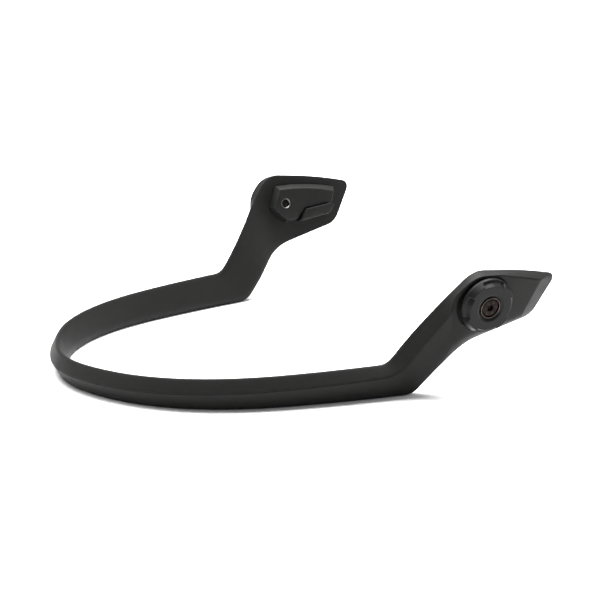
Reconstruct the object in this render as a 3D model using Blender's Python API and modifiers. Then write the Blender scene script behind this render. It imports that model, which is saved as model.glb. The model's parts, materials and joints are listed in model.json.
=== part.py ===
"""Removable chin guard for a ski race helmet.

A one-piece moulded bar runs round the chin and rises through two kinked arms to a plate
at each side.  Each plate carries a captive thumb screw outside and a locating block with
a hook rail inside.  Metres, +Z up, the guard stands on its flat underside, the chin is at
-X, the plates at +X, and the left plate is at +Y.
"""
import math

import bmesh
import bpy
import numpy as np
from mathutils import Matrix, Vector

MM = 0.001
GAP = 0.3          # air kept between touching pieces, mm

# ---- guard outline, mm, from the chin's outer lower edge -------------------------------
PLAN = ((0.0, 0.0), (5.7, 24.7), (17.9, 45.5), (36.1, 62.4), (60.7, 75.1), (91.4, 83.5),
        (112.0, 87.4), (128.7, 89.9), (144.0, 91.9))   # (x, half width) of the underside's edge
PLATE_START, PLATE_END = (160.0, 93.35), (214.0, 92.4)  # the plates' straight stretch
CHIN_HEIGHT = 14.0
KINK_HEIGHT = 16.7
KINK_UPPER = (123.9, KINK_HEIGHT)      # (x, z) corners of the side outline
KINK_LOWER = (138.0, 0.0)
PLATE_BACK = (160.6, 61.7)
NOSE = (207.8, 53.5)
PLATE_INNER = (160.8, 24.8)
LOW_FRONT = (196.2, 33.5)
TOP_ARCH = 0.9                         # rise of the plate's top edge at its middle
PLATE_LEAN = 0.1976                    # outward lean of the plates, mm per mm of height
LEAN_START, LEAN_END = 120.0, 160.0    # x range over which the lean builds up
PLATE_INSIDE, PLATE_OUTSIDE = -0.6, 5.8
EDGE_OUT, FRONT_OUT = 1.6, 0.8         # outer rims of the plate's top edge and front edge
KINK_RADII, INNER_RADIUS, BACK_RADIUS = (8.0, 9.0), 26.0, 9.0   # rounding of the outline's corners
STRAIGHT_END = 100.0                   # x up to which the bar's sections stand upright
RIDGE_CHIN, RIDGE_KINK = 8.0, 12.0     # height of the outer ridge at the chin and the kink
RIDGE_SAG = 0.8                        # the ridge hangs this much below a straight line
RIDGE_CHIN_OUT, RIDGE_KINK_OUT = 4.0, 5.2
RIDGE_TURN = (128.5, RIDGE_KINK)       # where the ridge turns up the arm
RIDGE_PLATE = ((150.6, 41.2), (152.0, 49.8), (159.8, 58.9), (173.0, 58.5), (195.6, 53.2))
RIDGE_RADII = (60, 16, 8, 10, 8, 30)
FIELD_LOW = (188.2, 36.0)              # front lower corner of the plate's flat field
BORDER_SHARE, BORDER_SHARE_PLATE = 0.3, 0.14   # height of the field's lower border up to the ridge
BORDER_DROP = 0.4                      # the border lies this much inside of the plate's outer face
BAR_RIM, BAR_TOP_IN = 0.64, -0.4       # outer and inner corner of the bar's top edge
LOWER_OUT_PLATE, LOWER_IN_BAR = 0.6, -3.8
CREASE_OUT = (-4.5, -5.6)              # inner crease at the chin and at the kink
CREASE_UP = (2.6, 3.2, 2.6)            # its height at the chin, the kink and the plate
FRONT_RISE = (0.18, 0.82, 0.86)        # corners of the front edge, from the nose downwards
FRONT_RIM = (1.2, 1.0)
EDGE_BACK = (0.9, 0.93)                # share of the top and lower edge before the front bevel
STATIONS = (15, 6, 9, 8)               # sections along the bar, the kink, the arm and the plate

# ---- side hardware, mm: distances run outwards from the outline surface -----------------
KNOB_X, KNOB_Z = 165.8, 46.4           # where the screw axis crosses the outline surface
KNOB_FACE, KNOB_RIM, KNOB_BASE = 11.5, 7.9, 6.4
KNOB_FACE_R, KNOB_RIM_R = 12.2, 13.7
HUB_BASE, HUB_R = 6.1, 10.2
DISH_R, DISH_DEPTH = 6.9, 0.8
GRIP_COUNT, GRIP_WIDTH, GRIP_START = 4, math.radians(54), math.radians(-5)
GRIP_LOW, GRIP_LOW_R, GRIP_TOP_R = 8.9, 12.5, 11.2
POCKET_R, POCKET_FLOOR = 14.2, 1.6
SCREW_R, HEAD_R, HEAD_BASE, HEAD_TOP = 1.75, 4.2, 8.6, 10.9
SCREW_TIP = -5.9                       # rests just below the block's face
SOCKET_R, SOCKET_LOBE, SOCKET_DEPTH = 1.75, 0.28, 1.5
BUSHING_BORE_R, BUSHING_NOSE_R, BUSHING_R, BUSHING_TOP = 2.07, 2.7, 3.4, 1.5
HEAD_SEAT, HEAD_SEAT_R = 9.6, 5.55     # step in the knob that the head ring stands on
SKIRT_R, SKIRT_TOP = 12.3, 8.1         # hollow under the knob, which holds the seal
HEAD_RING = (4.55, 5.25, 9.9, 11.2)    # rings as (inner radius, outer radius, low, high)
THRUST_WASHER = (2.6, 9.0, 5.3, 5.8)
RETAINING_RING = (SCREW_R + GAP, 4.0, 4.4, 5.0)
WAVE_WASHER = (4.8, 8.0, 1.9, 2.5)
SEAL_MAJOR_R, SEAL_MINOR_R, SEAL_OUT = 11.25, 0.7, 7.1
CUT_OVER = 3.0                         # cutters run this far past the faces they open
BLOCK_FACE, RAIL_FACE = -6.5, -8.2
BLOCK_BASE = ((-3.1, 9.4), (6.0, 9.5), (14.8, 8.7), (23.6, 7.4), (31.6, 5.6), (28.6, -1.6),
              (25.2, -1.8), (11.4, -3.3), (6.6, -10.2), (0.5, -10.9), (-8.0, -2.1))
BLOCK_TOP = ((-2.6, 7.6), (6.0, 7.4), (13.6, 6.7), (21.2, 5.4), (28.6, 3.5), (26.9, -1.9),
             (25.4, -2.1), (10.9, -3.5), (5.6, -8.3), (-0.2, -8.8), (-7.1, -2.3))
RAIL_BASE = ((7.7, -10.6), (11.8, -4.2), (25.8, -2.6), (28.0, -3.9), (24.6, -8.8), (9.6, -11.2))
RAIL_TOP = ((8.2, -9.0), (11.0, -4.4), (25.9, -2.8), (27.5, -3.8), (24.2, -7.8), (9.5, -9.5))
STRAP_THICK, STRAP_WIDE = 0.8, 5.0
STRAP_OUT, STRAP_OUT_PLATE = 0.4, 2.6  # the strap's middle, in the bar and in the plate
STRAP_STEP = 24.0                      # length over which it steps outwards before its end
STRAP_STOP = POCKET_R + 0.8            # distance from the screw axis to the strap's end
STRAP_TURN = (129.8, 8.6)              # where the strap's middle line turns up the arm
STRAP_RISE = (0.4, 1.0)                # its height over half the chin's, at the chin and past the bend
STRAP_STATIONS = 15
TURN_STEPS = 48


# ---- small helpers ---------------------------------------------------------------------
def clear_scene():
    for obj in list(bpy.data.objects):
        bpy.data.objects.remove(obj, do_unlink=True)


def new_collection(name):
    collection = bpy.data.collections.new(name)
    bpy.context.scene.collection.children.link(collection)
    return collection


def make_material(name, colour, roughness, metallic=0.0):
    material = bpy.data.materials.new(name)
    material.use_nodes = True
    shader = material.node_tree.nodes["Principled BSDF"]
    shader.inputs["Base Color"].default_value = (*colour, 1.0)
    shader.inputs["Roughness"].default_value = roughness
    shader.inputs["Metallic"].default_value = metallic
    material.diffuse_color = (*colour, 1.0)
    return material


def smoothstep(value):
    value = min(max(value, 0.0), 1.0)
    return value * value * (3.0 - 2.0 * value)


def mix(a, b, t):
    return a + (b - a) * t


def mesh_object(name, bm, collection, material=None):
    mesh = bpy.data.meshes.new(name)
    bmesh.ops.recalc_face_normals(bm, faces=bm.faces)
    bm.to_mesh(mesh)
    bm.free()
    obj = bpy.data.objects.new(name, mesh)
    collection.objects.link(obj)
    if material:
        mesh.materials.append(material)
    return obj


def boolean(obj, cutter, operation="DIFFERENCE"):
    modifier = obj.modifiers.new(cutter.name, "BOOLEAN")
    modifier.operation = operation
    modifier.solver = "EXACT"
    modifier.object = cutter
    cutter.hide_render = True
    cutter.display_type = "WIRE"


# ---- the guard's surface ---------------------------------------------------------------
def spline(points, samples=16):
    """Smooth curve through points whose first span is mirrored across y = 0."""
    given = np.array(points, float)
    knots = np.vstack([given[1] * (1, -1), given])
    run = np.concatenate([[0.0], np.cumsum(np.hypot(*np.diff(knots, axis=0).T))])
    step = np.diff(run)
    count = len(knots)
    system = np.zeros((count, count))
    right = np.zeros((count, 2))
    system[0, 0] = system[-1, -1] = 1.0
    for i in range(1, count - 1):
        system[i, i - 1:i + 2] = step[i - 1], 2 * (step[i - 1] + step[i]), step[i]
        right[i] = 6 * ((knots[i + 1] - knots[i]) / step[i] - (knots[i] - knots[i - 1]) / step[i - 1])
    bend = np.linalg.solve(system, right)
    out = []
    for i in range(1, count - 1):
        for k in range(samples):
            t = step[i] * k / samples
            a, b = step[i] - t, t
            cubic = (bend[i] * a ** 3 + bend[i + 1] * b ** 3) / (6 * step[i])
            line = (knots[i] / step[i] - bend[i] * step[i] / 6) * a
            line = line + (knots[i + 1] / step[i] - bend[i + 1] * step[i] / 6) * b
            out.append(cubic + line)
    out.append(knots[-1])
    return np.array(out)


def plan_curve():
    """The spline, a blend whose ends match both slopes, and the plate's straight stretch."""
    curve = spline(PLAN)
    first, last = curve[-1], np.array(PLATE_START)
    end = np.array(PLATE_END)
    reach = np.hypot(*(last - first))
    leave = (curve[-1] - curve[-2]) / np.hypot(*(curve[-1] - curve[-2])) * reach
    arrive = (end - last) / np.hypot(*(end - last)) * reach
    blend = []
    for t in np.linspace(0.0, 1.0, 13)[1:]:
        blend.append(first * (2 * t ** 3 - 3 * t ** 2 + 1) + leave * (t ** 3 - 2 * t ** 2 + t)
                     + last * (3 * t ** 2 - 2 * t ** 3) + arrive * (t ** 3 - t ** 2))
    return np.vstack([curve, blend, end])


PLAN_CURVE = plan_curve()
PLAN_RUN = np.concatenate([[0.0], np.cumsum(np.hypot(*np.diff(PLAN_CURVE, axis=0).T))])


def run_at(x):
    """Distance along the plan curve from the chin to the given x."""
    return float(np.interp(x, PLAN_CURVE[:, 0], PLAN_RUN))


def on_surface(run, z, out):
    """Point at a run along the plan, a height and a distance outwards, left side, mm."""
    def plan(at):
        x = np.interp(abs(at), PLAN_RUN, PLAN_CURVE[:, 0])
        return np.array([x, math.copysign(np.interp(abs(at), PLAN_RUN, PLAN_CURVE[:, 1]), at)])
    here = plan(run)
    along = plan(run + 1.0) - plan(run - 1.0)
    along /= np.hypot(*along)
    normal = np.array([-along[1], along[0]])
    lean = PLATE_LEAN * smoothstep((here[0] - LEAN_START) / (LEAN_END - LEAN_START))
    flat = here + normal * (out + lean * z)
    return np.array([flat[0], flat[1], z])


def fillet(corners, radii, steps):
    """Polyline with each inner corner replaced by an arc."""
    points = [np.array(corners[0], float)]
    for before, corner, after, radius in zip(corners, corners[1:], corners[2:], radii):
        corner = np.array(corner, float)
        back = np.array(before) - corner
        ahead = np.array(after) - corner
        back /= np.hypot(*back)
        ahead /= np.hypot(*ahead)
        half = math.acos(float(np.clip(back @ ahead, -1, 1))) / 2
        bisector = (back + ahead) / np.hypot(*(back + ahead))
        centre = corner + bisector * radius / math.sin(half)
        first = corner + back * radius / math.tan(half) - centre
        last = corner + ahead * radius / math.tan(half) - centre
        start = math.atan2(first[1], first[0])
        sweep = (math.atan2(last[1], last[0]) - start + math.pi) % (2 * math.pi) - math.pi
        for k in range(steps + 1):
            angle = start + sweep * k / steps
            points.append(centre + radius * np.array([math.cos(angle), math.sin(angle)]))
    points.append(np.array(corners[-1], float))
    return np.array(points)


def walk(polyline, marks, counts):
    """Points along a polyline, evenly spaced between the marks nearest to given corners."""
    run = np.concatenate([[0.0], np.cumsum(np.hypot(*np.diff(polyline, axis=0).T))])
    at = [run[np.argmin(np.hypot(*(polyline - np.array(mark)).T))] for mark in marks]
    stops = []
    for a, b, count in zip(at, at[1:], counts):
        stops.extend(np.linspace(a, b, count, endpoint=False))
    stops.append(at[-1])
    return np.stack([np.interp(stops, run, polyline[:, 0]), np.interp(stops, run, polyline[:, 1])], 1)


def developed(*corners):
    """Outline corners (x, z) as (run, z)."""
    return [(run_at(x), z) for x, z in corners]


def rails():
    """Upper edge, ridge, field's lower border and lower edge, station by station."""
    bar_end = run_at(STRAIGHT_END)
    share = bar_end / run_at(KINK_UPPER[0])
    start = (0.0, CHIN_HEIGHT)
    kink, back, nose = developed(KINK_UPPER, PLATE_BACK, NOSE)
    upper = fillet([start, kink, back, nose], (KINK_RADII[0], BACK_RADIUS), 6)
    bar_top = (bar_end, mix(CHIN_HEIGHT, KINK_HEIGHT, share))
    upper = walk(upper, [start, bar_top, kink, back, nose], STATIONS)

    kink, inner, front = developed(KINK_LOWER, PLATE_INNER, LOW_FRONT)
    lower = fillet([(0.0, 0.0), kink, inner, front], (KINK_RADII[1], INNER_RADIUS), 6)
    lower = walk(np.vstack([lower[:1], [(bar_end, 0.0)], lower[1:]]),
                 [(0.0, 0.0), (bar_end, 0.0), kink, inner, front], STATIONS)

    bar, arm, plate = STATIONS[0] + STATIONS[1], STATIONS[2], STATIONS[3]
    for i in range(plate + 1):
        upper[bar + arm + i, 1] += TOP_ARCH * math.sin(math.pi * i / plate)

    ridge_bar = (bar_end, mix(RIDGE_CHIN, RIDGE_KINK, share))
    turn, *plate_corners = developed(RIDGE_TURN, *RIDGE_PLATE)
    crown, tip = plate_corners[2], plate_corners[-1]
    ridge = fillet([(0.0, RIDGE_CHIN), ridge_bar, turn, *plate_corners], RIDGE_RADII, 4)
    ridge = walk(ridge, [(0.0, RIDGE_CHIN), ridge_bar, turn, crown, tip], STATIONS)
    for i in range(bar):
        ridge[i, 1] -= RIDGE_SAG * 4 * (i / bar) * (1 - i / bar)

    border = []
    for i in range(len(upper)):
        share = mix(BORDER_SHARE, BORDER_SHARE_PLATE, smoothstep((i - bar - 3) / arm))
        place = mix(lower[i], ridge[i], share)
        towards = smoothstep((i - bar - arm) / plate) ** 3
        border.append(mix(place, np.array(developed(FIELD_LOW)[0]), towards))
    return upper, ridge, np.array(border), lower


def section_table():
    """Distances outwards of the section's corners, station by station."""
    table = []
    bar = STATIONS[0] + STATIONS[1]
    for i in range(sum(STATIONS) + 1):
        along = min(i / bar, 1.0)
        arm = smoothstep((i - bar + 3) / (STATIONS[2] + 2))
        ridge = mix(mix(RIDGE_CHIN_OUT, RIDGE_KINK_OUT, along), PLATE_OUTSIDE, arm)
        lower_out = mix(0.0, LOWER_OUT_PLATE, arm)
        border = mix(mix(lower_out, ridge, BORDER_SHARE), PLATE_OUTSIDE - BORDER_DROP,
                     smoothstep((i - bar - 3) / STATIONS[2]))
        table.append({
            "upper_in": mix(BAR_TOP_IN, PLATE_INSIDE, arm), "upper_out": mix(BAR_RIM, EDGE_OUT, arm),
            "ridge": ridge, "border": border, "lower_out": lower_out,
            "lower_in": mix(LOWER_IN_BAR, PLATE_INSIDE, arm),
            "crease": mix(mix(*CREASE_OUT, along), PLATE_INSIDE, arm),
            "crease_up": mix(mix(*CREASE_UP[:2], along), CREASE_UP[2], arm)})
    return table


def guard_sections():
    """Corner rings of the left half, from the chin to the tip of the plate."""
    upper, ridge, border, lower = rails()
    rings = []
    for i, size in enumerate(section_table()):
        rise = upper[i] - lower[i]
        crease = lower[i] + rise / np.hypot(*rise) * size["crease_up"]
        ring = [on_surface(*upper[i], size["upper_in"]), on_surface(*upper[i], size["upper_out"]),
                on_surface(*ridge[i], size["ridge"]), on_surface(*border[i], size["border"]),
                on_surface(*lower[i], size["lower_out"]), on_surface(*lower[i], size["lower_in"]),
                on_surface(*crease, size["crease"])]
        rings.append(ring)
    outline = developed(PLATE_BACK, NOSE, PLATE_INNER, LOW_FRONT)
    back, nose, inner, front = (np.array(place) for place in outline)
    high, low, low_inside = (mix(nose, front, share) for share in FRONT_RISE)
    tip = [on_surface(*nose, PLATE_INSIDE), on_surface(*nose, EDGE_OUT), on_surface(*high, FRONT_RIM[0]),
           on_surface(*low, FRONT_RIM[1]), on_surface(*front, FRONT_OUT), on_surface(*front, PLATE_INSIDE),
           on_surface(*low_inside, PLATE_INSIDE)]
    top_end, low_end = mix(back, nose, EDGE_BACK[0]), mix(inner, front, EDGE_BACK[1])
    edge = rings[-1]
    edge[0], edge[1] = on_surface(*top_end, PLATE_INSIDE), on_surface(*top_end, EDGE_OUT)
    edge[4], edge[5] = on_surface(*low_end, FRONT_RIM[1]), on_surface(*low_end, PLATE_INSIDE)
    rings.append(tip)
    return np.array(rings)


def body_frame():
    """Turns outline millimetres into metres about the middle of the guard's footprint."""
    rings = guard_sections()
    middle = (rings[..., 0].min() + rings[..., 0].max()) / 2
    return rings, middle


RINGS, MIDDLE = body_frame()


def metres(point):
    return Vector(((point[0] - MIDDLE) * MM, point[1] * MM, point[2] * MM))


def loft(name, rings, collection, material=None):
    """Half body from closed rings, open at the first ring, mirrored across y = 0."""
    bm = bmesh.new()
    grid = [[bm.verts.new(metres(point)) for point in ring] for ring in rings]
    around = len(grid[0])
    for ring, after in zip(grid, grid[1:]):
        for k in range(around):
            n = (k + 1) % around
            bm.faces.new((ring[k], ring[n], after[n], after[k]))
    bm.faces.new(grid[-1])
    bmesh.ops.triangulate(bm, faces=bm.faces)
    for vert in grid[0]:
        vert.co.y = 0.0
    obj = mesh_object(name, bm, collection, material)
    mirror = obj.modifiers.new("both_sides", "MIRROR")
    mirror.use_axis = (False, True, False)
    mirror.merge_threshold = 0.00002
    return obj


def strap_line():
    """Middle line (run, z) of the metal strap, from the chin to the screw axis."""
    bar_end = run_at(STRAIGHT_END)
    turn, axis = developed(STRAP_TURN, (KNOB_X, KNOB_Z))
    first, second = (CHIN_HEIGHT / 2 + rise for rise in STRAP_RISE)
    return fillet([(0.0, first), (bar_end, second), turn, axis], (200, 18), 6)


def strap_rings(air=0.0, reach=None):
    """Rectangular sections along the strap line; air and reach make the tunnel round it."""
    thick, wide = STRAP_THICK + 2 * air, STRAP_WIDE + 2 * air
    line = strap_line()
    length = np.concatenate([[0.0], np.cumsum(np.hypot(*np.diff(line, axis=0).T))])
    end = length[-1] - STRAP_STOP
    bar = run_at(STRAIGHT_END)
    stops = [*np.linspace(0.0, bar, STRAP_STATIONS), *np.linspace(bar, end, STRAP_STATIONS)[1:]]
    if reach:
        stops.append(end + reach)
    rings = []
    for at in stops:
        here = np.array([np.interp(at, length, line[:, 0]), np.interp(at, length, line[:, 1])])
        ahead = np.array([np.interp(at + 1, length, line[:, 0]), np.interp(at + 1, length, line[:, 1])])
        along = (ahead - here) / np.hypot(*(ahead - here))
        across = np.array([-along[1], along[0]]) * wide / 2
        out = mix(STRAP_OUT, STRAP_OUT_PLATE, smoothstep((at - end + STRAP_STEP) / STRAP_STEP))
        low, high = here - across, here + across
        rings.append([on_surface(*high, out - thick / 2), on_surface(*high, out + thick / 2),
                      on_surface(*low, out + thick / 2), on_surface(*low, out - thick / 2)])
    return rings


# ---- the side hardware -----------------------------------------------------------------
def side_matrix(side):
    """Right-handed frame at the screw axis: local Z runs outwards, local Y up the plate."""
    run = run_at(KNOB_X)
    origin = on_surface(run, KNOB_Z, 0.0)
    along = on_surface(run + 1, KNOB_Z, 0.0) - on_surface(run - 1, KNOB_Z, 0.0)
    rise = on_surface(run, KNOB_Z + 1, 0.0) - on_surface(run, KNOB_Z - 1, 0.0)
    out = np.cross(rise, along)
    out, along = (Vector(v / np.linalg.norm(v)) for v in (out, along))
    for vector in (out, along):
        vector.y *= side
    up = out.cross(along) if side < 0 else along.cross(out)
    across = up.cross(out)
    matrix = Matrix((across, up, out)).transposed().to_4x4()
    place = metres(origin)
    matrix.translation = (place.x, place.y * side, place.z)
    return matrix


def turned(name, profile, frame, collection, material=None, steps=TURN_STEPS, closed=True):
    """Body of revolution about the frame's Z from (radius, distance out) points in mm."""
    bm = bmesh.new()
    verts = [bm.verts.new((radius * MM, 0.0, out * MM)) for radius, out in profile]
    for a, b in zip(verts, verts[1:]):
        bm.edges.new((a, b))
    if closed:
        bm.edges.new((verts[-1], verts[0]))
    mesh = bpy.data.meshes.new(name)
    bm.to_mesh(mesh)
    bm.free()
    obj = bpy.data.objects.new(name, mesh)
    collection.objects.link(obj)
    obj.matrix_world = frame
    screw = obj.modifiers.new("turn", "SCREW")
    screw.steps = screw.render_steps = steps
    screw.use_merge_vertices = True
    screw.merge_threshold = 0.00001
    if material:
        mesh.materials.append(material)
    return obj


def tapered(name, low, high, low_out, high_out, flip, frame, collection, material=None):
    """Closed body between two outlines of the same number of corners."""
    bm = bmesh.new()
    rows = [[bm.verts.new((flip * p * MM, q * MM, out * MM)) for p, q in outline]
            for outline, out in ((low, low_out), (high, high_out))]
    for k in range(len(low)):
        n = (k + 1) % len(low)
        bm.faces.new((rows[0][k], rows[0][n], rows[1][n], rows[1][k]))
    for row in rows:
        bm.faces.new(row)
    obj = mesh_object(name, bm, collection, material)
    obj.matrix_world = frame
    return obj


def grip_cutter(name, frame, flip, collection):
    """Four sector blocks that hollow the finger grips out of the knob's rim."""
    bm = bmesh.new()
    section = ((GRIP_LOW_R, GRIP_LOW), (KNOB_RIM_R + 2, GRIP_LOW), (KNOB_RIM_R + 2, KNOB_FACE + 1),
               (GRIP_TOP_R - GAP, KNOB_FACE + 1))
    steps = 6
    for grip in range(GRIP_COUNT):
        first = GRIP_START + 2 * math.pi * grip / GRIP_COUNT - GRIP_WIDTH / 2
        rows = []
        for k in range(steps + 1):
            angle = first + GRIP_WIDTH * k / steps
            turn = Vector((flip * math.cos(angle), math.sin(angle), 0.0)) * MM
            rows.append([bm.verts.new(turn * r + Vector((0.0, 0.0, out * MM))) for r, out in section])
        for row, after in zip(rows, rows[1:]):
            for k in range(len(section)):
                n = (k + 1) % len(section)
                bm.faces.new((row[k], row[n], after[n], after[k]))
        bm.faces.new(rows[0])
        bm.faces.new(rows[-1])
    obj = mesh_object(name, bm, collection)
    obj.matrix_world = frame
    return obj


def lobed_cutter(name, frame, collection):
    """Six-lobed driver socket."""
    bm = bmesh.new()
    points = 36
    rows = []
    for out in (HEAD_TOP - SOCKET_DEPTH, HEAD_TOP + 1):
        row = []
        for k in range(points):
            angle = 2 * math.pi * k / points
            radius = (SOCKET_R + SOCKET_LOBE * math.cos(6 * angle)) * MM
            row.append(bm.verts.new((radius * math.cos(angle), radius * math.sin(angle), out * MM)))
        rows.append(row)
    for k in range(points):
        n = (k + 1) % points
        bm.faces.new((rows[0][k], rows[0][n], rows[1][n], rows[1][k]))
    for row in rows:
        bm.faces.new(row)
    obj = mesh_object(name, bm, collection)
    obj.matrix_world = frame
    return obj


def cylinder(radius, low, high):
    return ((0.0, high), (radius, high), (radius, low), (0.0, low))


def ring(inner, outer, low, high):
    return ((inner, high), (outer, high), (outer, low), (inner, low))


KNOB_PROFILE = (
    (SCREW_R + 0.35, HUB_BASE), (SCREW_R + 0.35, HEAD_BASE - GAP), (HEAD_R + GAP, HEAD_BASE - GAP),
    (HEAD_R + GAP, HEAD_SEAT), (HEAD_SEAT_R, HEAD_SEAT), (HEAD_SEAT_R, KNOB_FACE - DISH_DEPTH),
    (DISH_R, KNOB_FACE), (KNOB_FACE_R - 0.3, KNOB_FACE), (KNOB_FACE_R, KNOB_FACE - 0.2),
    (KNOB_RIM_R - 0.1, KNOB_RIM + 0.3), (KNOB_RIM_R, KNOB_RIM - 0.3), (KNOB_RIM_R - 0.1, KNOB_BASE + 0.3),
    (KNOB_RIM_R - 0.4, KNOB_BASE), (SKIRT_R, KNOB_BASE), (SKIRT_R, SKIRT_TOP), (HUB_R, SKIRT_TOP),
    (HUB_R, HUB_BASE))
BUSHING_PROFILE = (
    (BUSHING_BORE_R, BUSHING_TOP), (BUSHING_R, BUSHING_TOP), (BUSHING_R, PLATE_INSIDE),
    (BUSHING_NOSE_R, PLATE_INSIDE), (BUSHING_NOSE_R, BLOCK_FACE + 0.1), (BUSHING_BORE_R, BLOCK_FACE + 0.1))
SCREW_PROFILE = (
    (0.0, HEAD_TOP), (HEAD_R - 0.2, HEAD_TOP), (HEAD_R, HEAD_TOP - 0.2), (HEAD_R, HEAD_BASE),
    (SCREW_R, HEAD_BASE), (SCREW_R, SCREW_TIP + 0.3), (SCREW_R - 0.3, SCREW_TIP), (0.0, SCREW_TIP))


def build_fixed(label, side, frame, parts, cutters, colours, guard):
    """The pieces of one side that stay with the guard, and the holes they need."""
    flip = -side                       # local X points to the chin on the left side
    pocket = turned(label + "_pocket_cut", cylinder(POCKET_R, POCKET_FLOOR, PLATE_OUTSIDE + CUT_OVER),
                    frame, cutters, steps=56, closed=False)
    hole = turned(label + "_bushing_cut", cylinder(BUSHING_R + GAP, -CUT_OVER, CUT_OVER), frame, cutters,
                  steps=24, closed=False)
    boolean(guard, pocket)
    boolean(guard, hole)
    block = tapered(label + "_locating_block", BLOCK_BASE, BLOCK_TOP, PLATE_INSIDE - GAP, BLOCK_FACE,
                    flip, frame, parts, colours["block"])
    block_hole = turned(label + "_block_cut", cylinder(BUSHING_NOSE_R + GAP, BLOCK_FACE - CUT_OVER, 0.0),
                        frame, cutters, steps=24, closed=False)
    boolean(block, block_hole)
    tapered(label + "_hook_rail", RAIL_BASE, RAIL_TOP, PLATE_INSIDE - GAP, RAIL_FACE, flip, frame,
            parts, colours["block"])
    turned(label + "_bushing", BUSHING_PROFILE, frame, parts, colours["steel"], steps=24)
    turned(label + "_wave_washer", ring(*WAVE_WASHER), frame, parts, colours["steel"], steps=32)


def build_moving(label, side, frame, parts, cutters, colours):
    """The captive thumb screw of one side and what travels with it."""
    turned(label + "_thrust_washer", ring(*THRUST_WASHER), frame, parts, colours["nylon"], steps=32)
    turned(label + "_retaining_ring", ring(*RETAINING_RING), frame, parts, colours["steel"], steps=24)
    knob = turned(label + "_knob", KNOB_PROFILE, frame, parts, colours["knob"])
    boolean(knob, grip_cutter(label + "_grip_cut", frame, -side, cutters))
    turned(label + "_head_ring", ring(*HEAD_RING), frame, parts, colours["ring"], steps=36)
    screw = turned(label + "_screw", SCREW_PROFILE, frame, parts, colours["screw"], steps=24, closed=False)
    boolean(screw, lobed_cutter(label + "_socket_cut", frame, cutters))
    seal = [(SEAL_MAJOR_R + SEAL_MINOR_R * math.cos(angle), SEAL_OUT + SEAL_MINOR_R * math.sin(angle))
            for angle in (-2 * math.pi * k / 8 for k in range(8))]
    turned(label + "_o_ring", seal, frame, parts, colours["rubber"], steps=32)


def main():
    clear_scene()
    parts = new_collection("ski_chin_guard")
    cutters = new_collection("cutters")
    colours = {
        "guard": make_material("moulded_black", (0.030, 0.030, 0.029), 0.62),
        "block": make_material("block_black", (0.033, 0.033, 0.032), 0.58),
        "knob": make_material("knob_black", (0.032, 0.033, 0.034), 0.42),
        "screw": make_material("blackened_screw", (0.035, 0.033, 0.032), 0.40, 1.0),
        "ring": make_material("bronzed_ring", (0.26, 0.21, 0.18), 0.35, 1.0),
        "steel": make_material("plain_steel", (0.40, 0.41, 0.42), 0.35, 1.0),
        "nylon": make_material("nylon_washer", (0.55, 0.54, 0.50), 0.50),
        "rubber": make_material("seal_rubber", (0.020, 0.020, 0.020), 0.75),
    }
    guard = loft("guard_body", RINGS, parts, colours["guard"])
    tunnel = loft("strap_tunnel_cut", strap_rings(GAP, STRAP_STOP - POCKET_R / 2), cutters)
    boolean(guard, tunnel)
    loft("core_strap", strap_rings(), parts, colours["steel"])
    for label, side in (("left", 1), ("right", -1)):
        frame = side_matrix(side)
        build_fixed(label, side, frame, parts, cutters, colours, guard)
        build_moving(label, side, frame, parts, cutters, colours)


main()
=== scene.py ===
import json
import math

import bmesh
import bpy
import numpy as np
from bpy.props import FloatProperty, FloatVectorProperty, IntProperty, PointerProperty
from mathutils import Matrix, Vector


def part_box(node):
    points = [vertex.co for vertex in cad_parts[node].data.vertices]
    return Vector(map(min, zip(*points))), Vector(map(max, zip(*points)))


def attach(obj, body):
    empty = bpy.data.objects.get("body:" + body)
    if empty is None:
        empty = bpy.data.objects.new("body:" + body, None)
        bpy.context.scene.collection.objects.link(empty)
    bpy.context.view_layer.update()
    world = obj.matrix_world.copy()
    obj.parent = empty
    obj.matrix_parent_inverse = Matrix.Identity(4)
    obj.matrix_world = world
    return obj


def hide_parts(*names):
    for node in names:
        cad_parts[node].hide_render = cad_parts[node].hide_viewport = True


bl_info = {
    "name": "Chin Guard Maker",
    "version": (1, 0, 0),
    "blender": (4, 5, 0),
    "location": "View3D > Sidebar > Chin Guard",
    "description": "Builds the visible surfaces and finishes of a ski race helmet's chin guard",
    "category": "Object",
}

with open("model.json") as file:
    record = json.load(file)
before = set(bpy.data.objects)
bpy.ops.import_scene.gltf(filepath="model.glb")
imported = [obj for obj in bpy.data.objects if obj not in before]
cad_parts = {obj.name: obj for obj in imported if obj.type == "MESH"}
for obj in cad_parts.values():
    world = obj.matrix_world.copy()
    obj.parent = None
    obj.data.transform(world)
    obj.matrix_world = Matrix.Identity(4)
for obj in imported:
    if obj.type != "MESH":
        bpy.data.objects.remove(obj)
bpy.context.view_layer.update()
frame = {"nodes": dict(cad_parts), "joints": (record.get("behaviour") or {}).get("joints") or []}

MM = 0.001
ROOT = "guard"
SIDES = {"left": 1, "right": -1}

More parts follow.
